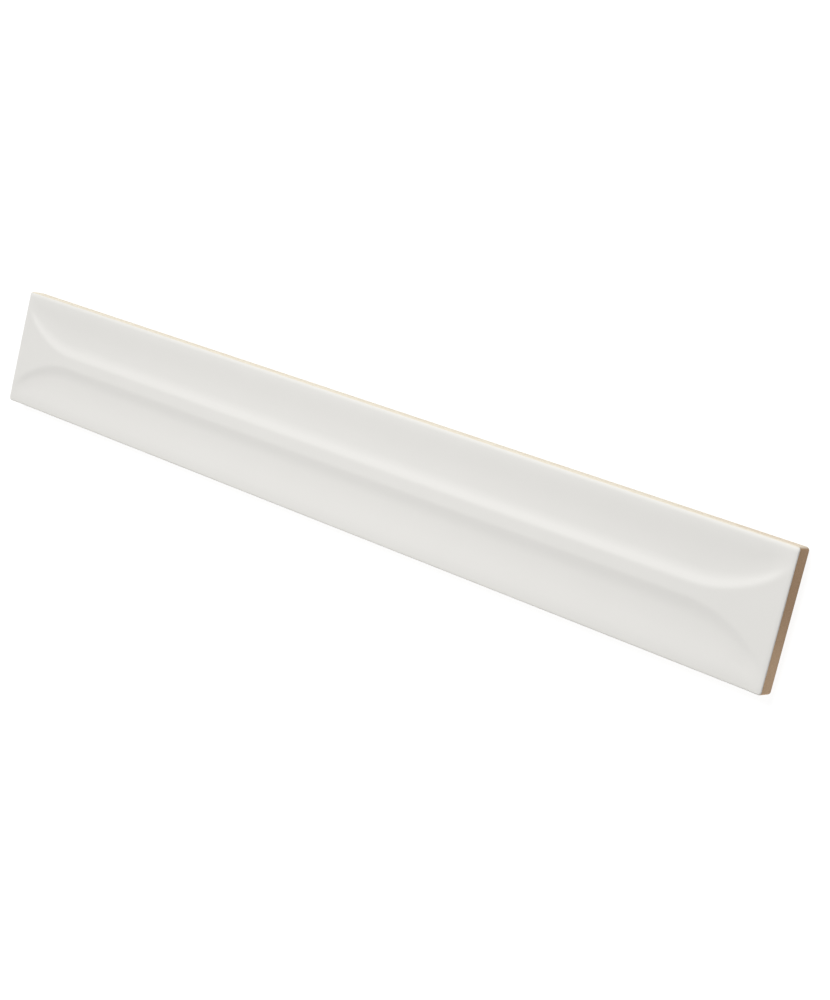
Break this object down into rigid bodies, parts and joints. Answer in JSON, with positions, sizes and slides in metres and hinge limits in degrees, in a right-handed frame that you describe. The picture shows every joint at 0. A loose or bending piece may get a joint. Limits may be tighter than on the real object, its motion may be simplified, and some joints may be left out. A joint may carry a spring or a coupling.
{
  "type": "wall tile",
  "caption": "Long narrow glazed ceramic wall tile with a scooped hollow along each long edge, a flat ridge between them and run-outs to the corners.",
  "frame": {"origin": "middle of the back, on the plane that lies against the wall", "axes": "+X along the length, +Y across the width, +Z out of the glazed face, so the back is on Z = 0"},
  "size_m": [0.4, 0.05, 0.0072],
  "materials": {
    "tile": "soft satin white glaze on the face, bare tan biscuit on the sides and back"
  },
  "bodies": {
    "root": {"tile": "tile"}
  },
  "joints": []
}
